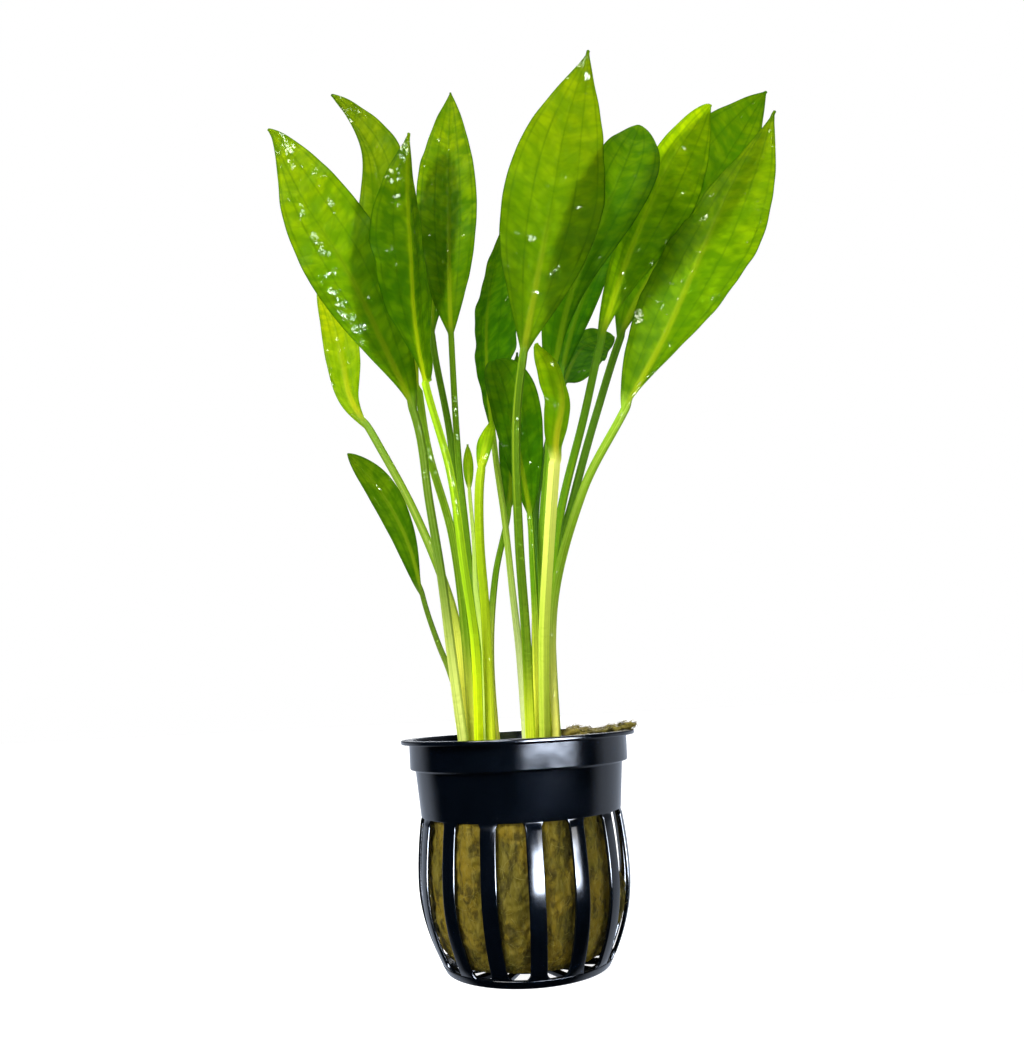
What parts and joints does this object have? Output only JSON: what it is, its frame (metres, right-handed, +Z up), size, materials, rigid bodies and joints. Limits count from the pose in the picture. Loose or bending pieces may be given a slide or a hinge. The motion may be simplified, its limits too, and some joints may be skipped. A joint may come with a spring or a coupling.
{
  "type": "potted aquarium plant",
  "caption": "Leafy rosette aquarium plant: long-stalked lance-shaped leaves rise from a mineral wool plug held in a round slotted plastic net pot.",
  "frame": {"origin": "centre of the pot's underside, which rests on the surface", "axes": "+Z up along the pot's axis, +X to the right of the plant's front, front facing -Y"},
  "size_m": [0.1196, 0.084, 0.218],
  "materials": {
    "pot_plastic": "gloss",
    "rockwool": "matte",
    "leaf_green": "satin",
    "leaf_deep_green": "satin",
    "leaf_yellow_green": "satin"
  },
  "bodies": {
    "root": {"net_pot": "pot_plastic", "rockwool_plug": "rockwool", "leaf_left_big": "leaf_green", "leaf_left_folded": "leaf_green", "leaf_left_curled": "leaf_green", "leaf_left_low": "leaf_green", "leaf_left_tall": "leaf_green", "leaf_left_newest": "leaf_yellow_green", "leaf_left_yellow": "leaf_yellow_green", "leaf_left_back": "leaf_deep_green", "leaf_left_inner": "leaf_green", "leaf_left_dark": "leaf_deep_green", "leaf_right_big": "leaf_green", "leaf_right_pale": "leaf_yellow_green", "leaf_right_outer": "leaf_green", "leaf_right_low": "leaf_deep_green", "leaf_right_tall": "leaf_green", "leaf_right_side": "leaf_deep_green", "leaf_right_narrow": "leaf_deep_green", "leaf_right_bent": "leaf_green", "leaf_right_back": "leaf_deep_green", "leaf_right_short": "leaf_deep_green"}
  },
  "joints": []
}
